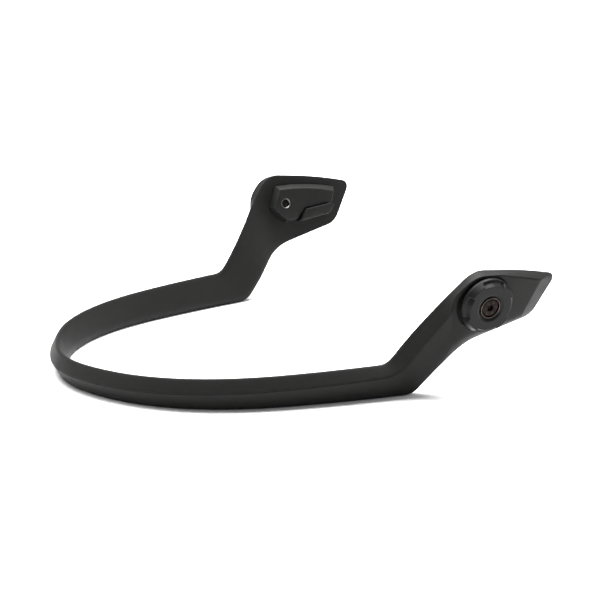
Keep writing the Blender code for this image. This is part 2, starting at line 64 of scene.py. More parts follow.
# ---- outline of the guard, mm, from the chin's outer lower edge ------------------------
PLAN = ((0.0, 0.0), (5.7, 24.7), (17.9, 45.5), (36.1, 62.4), (60.7, 75.1), (91.4, 83.5),
        (112.0, 87.4), (128.7, 89.9), (144.0, 91.9))
PLATE_START, PLATE_END = (160.0, 93.35), (214.0, 92.4)
CHIN_HEIGHT, KINK_HEIGHT = 14.0, 16.7
KINK_UPPER, KINK_LOWER = (124.4, KINK_HEIGHT), (138.0, 0.0)
PLATE_BACK, NOSE = (160.3, 61.65), (207.9, 53.7)
PLATE_INNER, LOW_FRONT = (160.8, 24.4), (196.0, 33.2)
NOSE_R, FRONT_R = 3.2, 8.0
TOP_ARCH = 0.83
PLATE_LEAN, LEAN_START, LEAN_END = 0.1976, 120.0, 160.0
PLATE_INSIDE, PLATE_OUTSIDE = -0.6, 5.8
EDGE_OUT, FRONT_OUT = 1.1, 0.7
STRAIGHT_END = 100.0
RIDGE_CHIN, RIDGE_KINK, RIDGE_SAG = 8.0, 12.0, 0.8
RIDGE_CHIN_OUT, RIDGE_KINK_OUT = 4.0, 5.2
RIDGE_PLATE = ((150.6, 41.2), (151.6, 50.1), (159.3, 59.5), (173.0, 58.7), (196.1, 53.1))
FIELD_LOW = (187.2, 34.8)
GROOVE_WIDTH, GROOVE_DEPTH = 0.42, 0.32  # parting groove that runs along the ridge
DETAIL = 3
STATIONS = (15, 6, 9, 8)                # coarse stations of bar, kink, arm and plate
CORNER_STATIONS = 8                     # fine stations round the nose and the lower front
SECTION_ROUNDING = (0.7, 0.5, 0.22, 0.12, 0.25, 0.8, 2.4, 0.9, 1.2, 1.8)  # parts of the edge rounding
SECTION_SPLITS = (0, 1, 0, 0, 0, 1, 0, 0, 0, 2)                           # extra points after each corner

# ---- side hardware, mm out from the outline surface ------------------------------------
POCKET_R, POCKET_FLOOR, POCKET_LIP = 14.05, 1.6, 0.3
BUSHING_HOLE_R = 3.7
KNOB_FACE, KNOB_RIM, KNOB_BASE = 11.45, 7.9, 6.4
KNOB_FACE_R, KNOB_RIM_R = 12.2, 13.7
HUB_BASE, HUB_R = 6.1, 10.2
DISH_R, DISH_DEPTH = 6.9, 0.8
GRIP_COUNT, GRIP_WIDTH, GRIP_START = 4, math.radians(54), math.radians(-5)
GRIP_LOW, GRIP_DEPTH, GRIP_CORNER, GRIP_EDGE = 8.7, 1.15, 1.3, 0.26
SCREW_R, HEAD_R, HEAD_BASE, HEAD_TOP, SCREW_TIP = 1.75, 4.2, 8.6, 10.9, -5.9
SOCKET_R, SOCKET_LOBE, SOCKET_DEPTH = 1.55, 0.24, 1.5
BORE_R, BUSHING_NOSE_R, BUSHING_R = 2.07, 2.7, 3.4
PITCH, THREAD_TOP = 0.8, 4.0
SCREW_THREAD, BORE_THREAD = 0.16, 0.14  # depths of the threads
GAP = 0.3                               # air between neighbouring pieces
KNOB_ROUNDING = (0.15, 0.3, 0.15, 0.15, 0.2, 0.5, 1.2, 0.28, 1.3, 0.12, 0.1, 0.1, 0.1, 0.1)
# rings and washers: inner and outer radius, lowest and highest place
HEAD_RING = (4.75, 5.2, 9.9, 11.2)
WAVE_WASHER, WAVE_HEIGHT = (4.9, 7.9, 2.05, 2.35), 0.12
SLIDE_WASHER = (2.6, 9.0, 5.3, 5.8)
SNAP_RING = (SCREW_R + GAP, 4.0, 4.4, 5.0)
SEAL_R, SEAL_SECTION_R, SEAL_PLACE = 11.25, 0.7, 7.1
BLOCK_FACE, RAIL_FACE = -6.5, -8.2
BLOCK_BACK = PLATE_INSIDE - GAP
BLOCK_BASE = ((-3.1, 9.4), (6.0, 9.5), (14.8, 8.7), (23.6, 7.4), (31.6, 5.6), (28.6, -1.6),
              (25.2, -1.8), (11.4, -3.4), (6.9, -10.3), (0.5, -10.9), (-8.0, -2.1))
BLOCK_TOP = ((-2.6, 7.6), (6.0, 7.4), (13.6, 6.7), (21.2, 5.4), (28.6, 3.5), (26.9, -1.9),
             (25.4, -2.1), (10.9, -3.7), (6.1, -8.6), (-0.2, -8.8), (-7.1, -2.3))
RAIL_BASE = ((7.7, -10.6), (11.8, -4.2), (25.8, -2.6), (28.0, -3.9), (24.6, -8.8), (9.6, -11.2))
RAIL_TOP = ((7.8, -9.1), (10.8, -4.05), (25.9, -2.45), (27.5, -3.8), (24.2, -7.8), (9.5, -9.5))

MIDDLE = -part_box("guard_body")[0].x / MM - RIDGE_CHIN_OUT   # x of the footprint's middle

# ---- camera, m and radians -------------------------------------------------------------
CAMERA_AZIMUTH, CAMERA_ELEVATION = math.radians(-27.03), math.radians(16.2524)
CAMERA_ROLL = math.radians(-0.27)
CAMERA_PLACE = Vector((-0.4594 - MIDDLE * MM, -1.1451, 0.3995))
CAMERA_LENS, CAMERA_SENSOR = 162.5, 36.0

# ---- softboxes: name, place, target and size, m ----------------------------------------
SOFTBOXES = (("top_softbox", (0.05, 0.25, 1.1), (0.0, 0.0, 0.0), (1.4, 1.0)),
             ("left_softbox", (-1.0, 0.5, 0.7), (0.0, 0.0, 0.02), (0.8, 0.8)),
             ("right_softbox", (1.1, -0.2, 0.6), (0.0, 0.0, 0.02), (0.8, 0.8)))

WELD = 2e-6                             # m, points nearer than this are one point
DUST_COLOUR = (0.32, 0.31, 0.29, 1.0)


# ---- curves and the guard's outline surface --------------------------------------------
def smoothstep(value):
    value = min(max(value, 0.0), 1.0)
    return value * value * (3.0 - 2.0 * value)


def mix(a, b, t):
    return a + (b - a) * t


def lengths(points):
    return np.concatenate([[0.0], np.cumsum(np.linalg.norm(np.diff(points, axis=0), axis=1))])


def spline(points, samples=24):
    """Smooth curve through points whose first span is mirrored across y = 0."""
    given = np.array(points, float)
    knots = np.vstack([given[1] * (1, -1), given])
    step = np.diff(lengths(knots))
    count = len(knots)
    system = np.zeros((count, count))
    right = np.zeros((count, 2))
    system[0, 0] = system[-1, -1] = 1.0
    for i in range(1, count - 1):
        system[i, i - 1:i + 2] = step[i - 1], 2 * (step[i - 1] + step[i]), step[i]
        right[i] = 6 * ((knots[i + 1] - knots[i]) / step[i] - (knots[i] - knots[i - 1]) / step[i - 1])
    bend = np.linalg.solve(system, right)
    out = []
    for i in range(1, count - 1):
        for k in range(samples):
            b = step[i] * k / samples
            a = step[i] - b
            cubic = (bend[i] * a ** 3 + bend[i + 1] * b ** 3) / (6 * step[i])
            line = (knots[i] / step[i] - bend[i] * step[i] / 6) * a
            out.append(cubic + line + (knots[i + 1] / step[i] - bend[i + 1] * step[i] / 6) * b)
    out.append(knots[-1])
    return np.array(out)


def plan_curve():
    """The bar's spline, a blend whose ends match both slopes, and the plate's straight stretch."""
    curve = spline(PLAN)
    first, last, end = curve[-1], np.array(PLATE_START), np.array(PLATE_END)
    reach = np.linalg.norm(last - first)
    leave = (curve[-1] - curve[-2]) / np.linalg.norm(curve[-1] - curve[-2]) * reach
    arrive = (end - last) / np.linalg.norm(end - last) * reach
    blend = [first * (2 * t ** 3 - 3 * t ** 2 + 1) + leave * (t ** 3 - 2 * t ** 2 + t)
             + last * (3 * t ** 2 - 2 * t ** 3) + arrive * (t ** 3 - t ** 2)
             for t in np.linspace(0.0, 1.0, 25)[1:]]
    return np.vstack([curve, blend, end])


PLAN_CURVE = plan_curve()
PLAN_RUN = lengths(PLAN_CURVE)


def developed(*corners):
    """Outline corners (x, z) as (distance along the plan curve, z)."""
    return [np.array((np.interp(x, PLAN_CURVE[:, 0], PLAN_RUN), z)) for x, z in corners]


def on_plan(run):
    y = math.copysign(np.interp(abs(run), PLAN_RUN, PLAN_CURVE[:, 1]), run)
    return np.array([np.interp(abs(run), PLAN_RUN, PLAN_CURVE[:, 0]), y])


def on_surface(place, out):
    """Point at (run, z) and a distance outwards from the outline surface, left side, mm."""
    run, z = place
    here = on_plan(run)
    along = on_plan(run + 1.0) - on_plan(run - 1.0)
    along /= np.linalg.norm(along)
    lean = PLATE_LEAN * smoothstep((here[0] - LEAN_START) / (LEAN_END - LEAN_START))
    flat = here + np.array([-along[1], along[0]]) * (out + lean * z)
    return np.array([flat[0], flat[1], z])


def arc(before, corner, after, radius, steps):
    """Points of the arc that rounds a corner."""
    back, ahead = np.array(before) - corner, np.array(after) - corner
    back, ahead = back / np.linalg.norm(back), ahead / np.linalg.norm(ahead)
    half = math.acos(float(np.clip(back @ ahead, -1, 1))) / 2
    bisector = (back + ahead) / np.linalg.norm(back + ahead)
    centre = corner + bisector * radius / math.sin(half)
    first = corner + back * radius / math.tan(half) - centre
    last = corner + ahead * radius / math.tan(half) - centre
    start = math.atan2(first[1], first[0])
    sweep = (math.atan2(last[1], last[0]) - start + math.pi) % (2 * math.pi) - math.pi
    angles = start + sweep * np.linspace(0.0, 1.0, steps + 1)
    return centre + radius * np.stack([np.cos(angles), np.sin(angles)], 1)


def rounded_line(corners, radii, steps=10):
    """Open polyline with each inner corner rounded."""
    parts = [[np.array(corners[0], float)]]
    for before, corner, after, radius in zip(corners, corners[1:], corners[2:], radii):
        parts.append(arc(before, np.array(corner, float), after, radius, steps))
    parts.append([np.array(corners[-1], float)])
    return np.vstack(parts)


def rounded_loop(corners, radii, steps=4):
    """Closed polygon with each corner rounded, radius 0 keeping it sharp."""
    points = []
    count = len(corners)
    for k in range(count):
        corner = np.array(corners[k], float)
        if radii[k] > 0:
            points.extend(arc(corners[k - 1], corner, corners[(k + 1) % count], radii[k], steps))
        else:
            points.append(corner)
    return points


def walk(line, marks, counts):
    """Points along a polyline, evenly spaced between the places nearest to the marks."""
    run = lengths(line)
    at = [run[np.argmin(np.linalg.norm(line - mark, axis=1))] for mark in marks]
    stops = np.concatenate([np.linspace(a, b, n, endpoint=False) for a, b, n in zip(at, at[1:], counts)])
    stops = np.append(stops, at[-1])
    return np.stack([np.interp(stops, run, line[:, 0]), np.interp(stops, run, line[:, 1])], 1)


def guard_rails():
    """Upper edge, ridge, field border and lower edge, fine station by fine station."""
    fine = [count * DETAIL for count in STATIONS]
    bar_end = developed((STRAIGHT_END, 0.0))[0][0]
    share = bar_end / developed(KINK_UPPER)[0][0]
    start = np.array((0.0, CHIN_HEIGHT))
    kink, back, nose, front = developed(KINK_UPPER, PLATE_BACK, NOSE, LOW_FRONT)
    bar_top = np.array((bar_end, mix(CHIN_HEIGHT, KINK_HEIGHT, share)))
    front_middle = (nose + front) / 2
    nose_arc = arc(back, nose, front, NOSE_R, 10)
    upper = rounded_line([start, bar_top, kink, back, nose, front_middle], (400, 8, 9, NOSE_R))
    upper = walk(upper, [start, bar_top, kink, back, nose_arc[0], nose_arc[-1]], fine + [CORNER_STATIONS])

    low_kink, inner = developed(KINK_LOWER, PLATE_INNER)
    front_arc = arc(inner, front, nose, FRONT_R, 10)
    origin, bar_low = np.array((0.0, 0.0)), np.array((bar_end, 0.0))
    lower = rounded_line([origin, low_kink, inner, front, front_middle], (9, 26, FRONT_R))
    lower = np.vstack([lower[:1], [bar_low], lower[1:]])
    lower = walk(lower, [origin, bar_low, low_kink, inner, front_arc[0], front_arc[-1]],
                 fine + [CORNER_STATIONS])

    plate_from, plate_to = sum(fine[:3]), sum(fine)
    for i in range(plate_from, plate_to + 1):
        t = (i - plate_from) / fine[3]
        upper[i, 1] += TOP_ARCH * math.sin(math.pi * t ** 1.25)

    ridge_start = np.array((0.0, RIDGE_CHIN))
    ridge_bar = np.array((bar_end, mix(RIDGE_CHIN, RIDGE_KINK, share)))
    turn = developed((128.5, RIDGE_KINK))[0]
    arm, side, crown, top, tip = developed(*RIDGE_PLATE)
    ridge = rounded_line([ridge_start, ridge_bar, turn, arm, side, crown, top, tip], (60, 16, 8, 10, 8, 30))
    ridge = walk(ridge, [ridge_start, ridge_bar, turn, crown, tip], fine)
    bend = fine[0] + fine[1]
    for i in range(bend):
        ridge[i, 1] -= RIDGE_SAG * 4 * (i / bend) * (1 - i / bend)

    border = []
    low_tip = developed(FIELD_LOW)[0]
    for i in range(plate_to + 1):
        share = mix(0.3, 0.14, smoothstep((i / DETAIL - bend / DETAIL - 3) / STATIONS[2]))
        place = mix(lower[i], ridge[i], share)
        if i > plate_from:
            place = mix(place, low_tip, smoothstep((i - plate_from) / fine[3]) ** 3)
        border.append(place)
    ridge, border = list(ridge), list(border)
    for k in range(1, CORNER_STATIONS + 1):
        t = k / CORNER_STATIONS
        ridge.append(mix(tip, mix(nose_arc[-1], front_arc[-1], 0.12), t))
        border.append(mix(low_tip, mix(nose_arc[-1], front_arc[-1], 0.88), t))
    return upper, ridge, border, lower


def section_sizes(i):
    """Distances outwards of one section's corners."""
    coarse = i / DETAIL
    bar = STATIONS[0] + STATIONS[1]
    along = min(coarse / bar, 1.0)
    arm = smoothstep((coarse - bar + 3) / (STATIONS[2] + 2))
    spread = smoothstep((coarse - bar - 3) / STATIONS[2])   # later than the arm's own blend
    corner = max(0.0, (i - sum(STATIONS) * DETAIL) / CORNER_STATIONS)
    ridge = mix(mix(RIDGE_CHIN_OUT, RIDGE_KINK_OUT, along), PLATE_OUTSIDE, arm)
    lower_out = mix(mix(-0.5, 0.0, min(2 * along, 1.0)), 0.1, arm)
    border = mix(mix(lower_out, ridge, 0.3), PLATE_OUTSIDE - 0.4, spread)
    edge = mix(EDGE_OUT, FRONT_OUT, corner)
    return {"upper_in": mix(-0.5, 0.1, arm), "upper_out": mix(1.15, edge, arm),
            "ridge": mix(ridge, FRONT_OUT + 0.1, corner), "border": mix(border, FRONT_OUT + 0.1, corner),
            "lower_out": mix(lower_out, FRONT_OUT, corner), "lower_in": mix(-3.8, PLATE_INSIDE, spread),
            "crease": mix(mix(-4.5, -5.6, along), PLATE_INSIDE, spread),
            "crease_up": mix(mix(2.8, 3.4, along), 2.6, arm)}


def soft_ring(corners, radii, splits):
    """Section whose corners are opened into two points and whose long sides get extra points."""
    points = []
    count = len(corners)
    for k in range(count):
        before, corner, after = corners[k - 1], corners[k], corners[(k + 1) % count]
        to_before, to_after = np.linalg.norm(before - corner), np.linalg.norm(after - corner)
        radius = min(radii[k], 0.42 * to_before, 0.42 * to_after)
        points.append(mix(corner, before, radius / max(to_before, 1e-6)))
        points.append(mix(corner, after, radius / max(to_after, 1e-6)))
        for part in range(1, splits[k] + 1):
            points.append(mix(corner, after, part / (splits[k] + 1)))
    return points


def guard_rings(rounding):
    """Sections of the left half, chin to nose."""
    upper, ridge, border, lower = guard_rails()
    rings = []
    for i in range(len(upper)):
        size = section_sizes(i)
        rise = upper[i] - lower[i]
        crease = lower[i] + rise / np.linalg.norm(rise) * min(size["crease_up"], 0.3 * np.linalg.norm(rise))
        down = (border[i] - ridge[i]) / np.linalg.norm(border[i] - ridge[i])
        groove = GROOVE_DEPTH * (1.0 - smoothstep((i - len(upper) + CORNER_STATIONS + 3) / 3.0))
        fall = (size["border"] - size["ridge"]) / np.linalg.norm(border[i] - ridge[i])
        shoulder = GROOVE_WIDTH * 2.2
        corners = [on_surface(upper[i], size["upper_in"]), on_surface(upper[i], size["upper_out"]),
                   on_surface(ridge[i], size["ridge"]),
                   on_surface(ridge[i] + down * GROOVE_WIDTH * 0.5, size["ridge"] - groove),
                   on_surface(ridge[i] + down * GROOVE_WIDTH, size["ridge"]),
                   on_surface(ridge[i] + down * shoulder, size["ridge"] + fall * shoulder * 0.3),
                   on_surface(border[i], size["border"]),
                   on_surface(lower[i], size["lower_out"]), on_surface(lower[i], size["lower_in"]),
                   on_surface(crease, size["crease"])]
        radii = [rounding * r for r in SECTION_ROUNDING]
        rings.append(soft_ring(corners, radii, SECTION_SPLITS))
    return rings


# ---- mesh helpers ----------------------------------------------------------------------
def link(name, mesh, material):
    obj = bpy.data.objects.new(name, mesh)
    bpy.context.scene.collection.objects.link(obj)
    if material:
        mesh.materials.clear()
        mesh.materials.append(material)
    return obj


def smooth(obj, degrees=38.0):
    obj.data.shade_smooth()
    obj.data.set_sharp_from_angle(angle=math.radians(degrees))


def mesh_from(name, verts, faces, weld=0.0):
    bm = bmesh.new()
    made = [bm.verts.new(v) for v in verts]
    for face in faces:
        bm.faces.new([made[k] for k in face])
    if weld:
        bmesh.ops.remove_doubles(bm, verts=bm.verts, dist=weld)
        bmesh.ops.dissolve_degenerate(bm, edges=bm.edges, dist=weld)
    bmesh.ops.recalc_face_normals(bm, faces=bm.faces)
    mesh = bpy.data.meshes.new(name)
    bm.to_mesh(mesh)
    bm.free()
    return mesh


def bake_modifiers(obj):
    """Replaces the object's mesh by what its modifiers make of it."""
    graph = bpy.context.evaluated_depsgraph_get()
    made = bpy.data.meshes.new_from_object(obj.evaluated_get(graph))
    old = obj.data
    obj.modifiers.clear()
    obj.data = made
    bpy.data.meshes.remove(old)
    return obj


def cut(obj, *cutters):
    """Subtracts the cutters, and removes them."""
    for cutter in cutters:
        modifier = obj.modifiers.new(cutter.name, "BOOLEAN")
        modifier.operation = "DIFFERENCE"
        modifier.solver = "EXACT"
        modifier.object = cutter
    bake_modifiers(obj)
    for cutter in cutters:
        bpy.data.objects.remove(cutter, do_unlink=True)
    return obj


def side_frame(label):
    """Frame on the screw's axis: local Z runs outwards and local Y up the plate."""
    joint = next(j for j in frame["joints"] if j["name"] == label + "_knob_turn")
    out = -Vector(joint["axis"]).normalized()
    across = Vector((-out.y, out.x, 0.0)).normalized()
    matrix = Matrix((across, out.cross(across), out)).transposed().to_4x4()
    matrix.translation = Vector(joint["pos_m"])
    return matrix


def lathe(name, loop, label, material, steps, shape=None):
    """Turns a closed loop of (radius, out) about the screw axis; shape may move each point."""
    matrix = side_frame(label)
    flip = -SIDES[label]
    verts, faces = [], []
    count = len(loop)
    for s in range(steps):
        angle = 2 * math.pi * s / steps
        for radius, out in loop:
            r, o = shape(radius, out, angle) if shape else (radius, out)
            local = Vector((flip * r * math.cos(angle) * MM, r * math.sin(angle) * MM, o * MM))
            verts.append(matrix @ local)
    for s in range(steps):
        here, after = s * count, ((s + 1) % steps) * count
        for k in range(count):
            n = (k + 1) % count
            faces.append((here + k, here + n, after + n, after + k))
    return link(name, mesh_from(name, verts, faces, WELD), material)


def band(inner, outer, low, high):
    """Corners of a ring's rectangular section."""
    return (inner, low), (outer, low), (outer, high), (inner, high)


def tapered(name, base, top, base_out, top_out, label, material):
    """Closed body between two outlines with the same number of corners."""
    matrix = side_frame(label)
    flip = -SIDES[label]
    verts = [matrix @ Vector((flip * p * MM, q * MM, out * MM))
             for outline, out in ((base, base_out), (top, top_out)) for p, q in outline]
    count = len(base)
    faces = [(k, (k + 1) % count, count + (k + 1) % count, count + k) for k in range(count)]
    faces += [tuple(range(count)), tuple(range(count, 2 * count))]
    return link(name, mesh_from(name, verts, faces), material)


def soften(obj, width, segments=3, angle=18.0):
    bevel = obj.modifiers.new("rounded_edges", "BEVEL")
    bevel.width = width * MM
    bevel.segments = segments
    bevel.limit_method = "ANGLE"
    bevel.angle_limit = math.radians(angle)
    return bake_modifiers(obj)


def finish_piece(obj, body, slot, *nodes):
    """Rides the piece on its body and stands it in for its CAD nodes, which it hides."""
    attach(obj, body)
    if nodes:
        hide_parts(*nodes)
    return obj


# ---- shader groups ---------------------------------------------------------------------
class Graph:
    """Adds nodes to a tree in few words."""

    def __init__(self, tree):
        self.tree = tree

    def add(self, kind, inputs=None, **settings):
        node = self.tree.nodes.new(kind)
        for key, value in settings.items():
            setattr(node, key, value)
        for key, value in (inputs or {}).items():
            self.feed(node.inputs[key], value)
        return node

    def feed(self, socket, value):
        if isinstance(value, bpy.types.NodeSocket):
            self.tree.links.new(value, socket)
        else:
            socket.default_value = value

    def math(self, operation, a, b=0.0, clamp=False):
        node = self.add("ShaderNodeMath", {0: a, 1: b}, operation=operation, use_clamp=clamp)
        return node.outputs[0]

    def spread(self, value, low, high, to_low=0.0, to_high=1.0):
        node = self.add("ShaderNodeMapRange", {"Value": value, "From Min": low, "From Max": high,
                                               "To Min": to_low, "To Max": to_high})
        return node.outputs["Result"]

    def noise(self, vector, scale, detail=2.0, roughness=0.5):
        node = self.add("ShaderNodeTexNoise", {"Vector": vector, "Scale": scale, "Detail": detail,
                                               "Roughness": roughness})
        return node.outputs["Fac"]

    def colour(self, factor, a, b):
        node = self.add("ShaderNodeMix", data_type="RGBA")
        self.feed(node.inputs["Factor"], factor)
        self.feed(node.inputs["A"], a)
        self.feed(node.inputs["B"], b)
        return node.outputs["Result"]


def shader_group(name, inputs, outputs):
    """Empty group with float inputs (name, default) and float outputs."""
    group = bpy.data.node_groups.new(name, "ShaderNodeTree")
    for label, default in inputs:
        socket = group.interface.new_socket(label, in_out="INPUT", socket_type="NodeSocketFloat")
        socket.default_value = default
    for label in outputs:
        group.interface.new_socket(label, in_out="OUTPUT", socket_type="NodeSocketFloat")
    graph = Graph(group)
    return group, graph, graph.add("NodeGroupInput").outputs, graph.add("NodeGroupOutput").inputs


def grain_group():
    """Spark-eroded mould grain: fine pits over a broad mottle."""
    group, graph, given, out = shader_group(
        "Mould Grain", (("Grain Size", 0.35), ("Mottle Size", 9.0)), ("Height", "Grain", "Mottle"))
    place = graph.add("ShaderNodeTexCoord").outputs["Object"]
    fine = graph.noise(place, graph.math("DIVIDE", 1000.0, given["Grain Size"]), 2.0, 0.6)
    cells = graph.add("ShaderNodeTexVoronoi", {"Vector": place, "Scale": graph.math(
        "DIVIDE", 1400.0, given["Grain Size"])}, feature="F1").outputs["Distance"]
    broad = graph.noise(place, graph.math("DIVIDE", 1000.0, given["Mottle Size"]), 3.0, 0.55)
    height = graph.math("ADD", graph.math("MULTIPLY", fine, 0.7), graph.math("MULTIPLY", cells, 0.3))
    graph.feed(out["Height"], height)
    graph.feed(out["Grain"], graph.spread(fine, 0.3, 0.7))
    graph.feed(out["Mottle"], graph.spread(broad, 0.3, 0.7))
    return group


def wear_group():
    """Rubbed outer edges, broken up by noise."""
    group, graph, given, out = shader_group(
        "Edge Wear", (("Amount", 0.5), ("Break Up", 4.0)), ("Mask",))
    place = graph.add("ShaderNodeTexCoord").outputs["Object"]
    edge = graph.spread(graph.add("ShaderNodeNewGeometry").outputs["Pointiness"], 0.515, 0.60)
    patches = graph.spread(graph.noise(place, graph.math("DIVIDE", 1000.0, given["Break Up"]), 4.0, 0.65),
                           0.35, 0.75)
    mask = graph.math("MULTIPLY", graph.math("MULTIPLY", edge, patches), given["Amount"], clamp=True)
    graph.feed(out["Mask"], mask)
    return group


def dust_group():
    """Fine dust that settles on faces that look up."""
    group, graph, given, out = shader_group("Settled Dust", (("Amount", 0.2),), ("Mask",))
    place = graph.add("ShaderNodeTexCoord").outputs["Object"]
    up = graph.add("ShaderNodeSeparateXYZ", {0: graph.add("ShaderNodeNewGeometry").outputs["Normal"]})
    facing = graph.spread(up.outputs["Z"], 0.2, 1.0)
    specks = graph.spread(graph.noise(place, 1600.0, 2.0, 0.7), 0.52, 0.74)
    haze = graph.spread(graph.noise(place, 70.0, 3.0, 0.6), 0.3, 0.8, 0.25, 1.0)
    mask = graph.math("MULTIPLY", graph.math("MULTIPLY", facing, given["Amount"]),
                      graph.math("MULTIPLY", specks, haze), clamp=True)
    graph.feed(out["Mask"], mask)
    return group


def turning_group():
    """Fine tool marks and broader scratches, both from noise."""
    group, graph, given, out = shader_group(
        "Turned Marks", (("Mark Size", 0.12), ("Scratch Size", 0.5)), ("Height", "Streak"))
    place = graph.add("ShaderNodeTexCoord").outputs["Object"]
    marks = graph.noise(place, graph.math("DIVIDE", 1000.0, given["Mark Size"]), 3.0, 0.6)
    scratches = graph.noise(place, graph.math("DIVIDE", 1000.0, given["Scratch Size"]), 5.0, 0.7)
    graph.feed(out["Height"], marks)
    graph.feed(out["Streak"], graph.spread(scratches, 0.3, 0.7))
    return group


GROUP_MAKERS = {"Mould Grain": grain_group, "Edge Wear": wear_group, "Settled Dust": dust_group,
                "Turned Marks": turning_group}


def placed_group(graph, name, **values):
    group = bpy.data.node_groups.get(name) or GROUP_MAKERS[name]()
    node = graph.add("ShaderNodeGroup", node_tree=group)
    for key, value in values.items():
        node.inputs[key.replace("_", " ").title()].default_value = value
    return node.outputs


def new_material(name):
    material = bpy.data.materials.new(name)
    material.use_nodes = True
    graph = Graph(material.node_tree)
    shader = material.node_tree.nodes["Principled BSDF"]
    return material, graph, shader


def scaled(colour, factor):
    return tuple(min(c * factor, 1.0) for c in colour[:3]) + (1.0,)


def moulded_plastic(name, colour, roughness, grain_size, bump, wear, dust, specular=0.5, coat=0.0):
    """Grained moulding: base colour, roughness and bump all vary over the surface."""
    material, graph, shader = new_material(name)
    grain = placed_group(graph, "Mould Grain", grain_size=grain_size)
    worn = placed_group(graph, "Edge Wear", amount=wear)["Mask"]
    dusty = placed_group(graph, "Settled Dust", amount=dust)["Mask"]
    base = graph.colour(grain["Mottle"], scaled(colour, 0.92), scaled(colour, 1.08))
    base = graph.colour(graph.math("MULTIPLY", grain["Grain"], 0.5), base, scaled(colour, 1.25))
    base = graph.colour(worn, base, scaled(colour, 2.4))
    base = graph.colour(dusty, base, DUST_COLOUR)
    graph.feed(shader.inputs["Base Color"], base)
    rough = graph.spread(grain["Mottle"], 0.0, 1.0, roughness - 0.04, roughness + 0.04)
    rough = graph.math("SUBTRACT", rough, graph.math("MULTIPLY", worn, 0.14))
    graph.feed(shader.inputs["Roughness"], graph.math("ADD", rough, graph.math("MULTIPLY", dusty, 0.2)))
    shader.inputs["Specular IOR Level"].default_value = specular
    shader.inputs["Coat Weight"].default_value = coat
    shader.inputs["Coat Roughness"].default_value = 0.25
    lift = graph.add("ShaderNodeBump", {"Height": grain["Height"], "Strength": bump, "Distance": 0.00012})
    graph.feed(shader.inputs["Normal"], lift.outputs["Normal"])
    return material


def worked_metal(name, colour, roughness, wear, tint):
    """Turned or stamped metal with fine marks and rubbed edges."""
    material, graph, shader = new_material(name)
    marks = placed_group(graph, "Turned Marks")
    worn = placed_group(graph, "Edge Wear", amount=wear, break_up=1.5)["Mask"]
    base = graph.colour(marks["Streak"], scaled(colour, 0.8), scaled(colour, 1.15))
    graph.feed(shader.inputs["Base Color"], graph.colour(worn, base, tint))
    graph.feed(shader.inputs["Roughness"],
               graph.spread(marks["Streak"], 0.0, 1.0, roughness - 0.07, roughness + 0.1))
    shader.inputs["Metallic"].default_value = 1.0
    lift = graph.add("ShaderNodeBump", {"Height": marks["Height"], "Strength": 0.25, "Distance": 0.00004})
    graph.feed(shader.inputs["Normal"], lift.outputs["Normal"])
    return material


def finish_of(name):
    """The material of one finish, made when first asked for."""
    ready = bpy.data.materials.get("finish_" + name)
    if ready:
        return ready
    colours = bpy.context.scene.chin_guard_colours
    key = "finish_" + name
    if name == "moulded_black":
        return moulded_plastic(key, colours.moulding, 0.55, 0.34, 0.55, 0.30, 0.05, 0.13)
    if name == "block_black":
        return moulded_plastic(key, colours.moulding, 0.52, 0.30, 0.45, 0.35, 0.05, 0.13)
    if name == "knob_black":
        return moulded_plastic(key, colours.knob, 0.40, 0.22, 0.22, 0.35, 0.04, 0.13, 0.02)
    if name == "seal_rubber":
        return moulded_plastic(key, (0.018, 0.018, 0.018), 0.72, 0.20, 0.20, 0.1, 0.0)
    if name == "nylon":
        return moulded_plastic(key, (0.55, 0.54, 0.50), 0.48, 0.30, 0.15, 0.1, 0.0)
    if name == "blackened_screw":
        return worked_metal(key, colours.screw, 0.42, 0.6, (0.10, 0.075, 0.062, 1.0))
    if name == "bronzed_ring":
        return worked_metal(key, colours.ring, 0.36, 0.5, (0.28, 0.22, 0.18, 1.0))
    if name == "steel":
        return worked_metal(key, (0.15, 0.152, 0.155), 0.34, 0.4, (0.26, 0.26, 0.26, 1.0))
    raise ValueError("no finish is called " + name)


# ---- properties ------------------------------------------------------------------------
class ChinGuardSizes(bpy.types.PropertyGroup):
    """Sizes a maker would change without touching the fitted dimensions"""
    edge_rounding: FloatProperty(
        name="Edge Rounding", description="Basic radius of the moulding's edges, in millimetres",
        default=0.6, min=0.2, max=1.5)
    surface_levels: IntProperty(
        name="Surface Levels", description="Subdivision levels of the guard's body",
        default=2, min=1, max=3)
    turning_steps: IntProperty(
        name="Turning Steps", description="Segments round each turned piece", default=120, min=32, max=360)
    knob_steps: IntProperty(
        name="Knob Steps", description="Segments round each knob", default=480, min=120, max=720)


class ChinGuardColours(bpy.types.PropertyGroup):
    """Colours of the finishes"""
    moulding: FloatVectorProperty(
        name="Moulding", description="Base colour of the bar, plates and blocks", subtype="COLOR",
        default=(0.0068, 0.0068, 0.0065), min=0.0, max=1.0)
    knob: FloatVectorProperty(
        name="Knob", description="Base colour of the thumb knobs", subtype="COLOR",
        default=(0.0020, 0.0021, 0.0022), min=0.0, max=1.0)
    screw: FloatVectorProperty(
        name="Screw", description="Base colour of the blackened screws", subtype="COLOR",
        default=(0.0070, 0.0060, 0.0055), min=0.0, max=1.0)
    ring: FloatVectorProperty(
        name="Ring", description="Base colour of the rings round the screw heads", subtype="COLOR",
        default=(0.078, 0.060, 0.050), min=0.0, max=1.0)


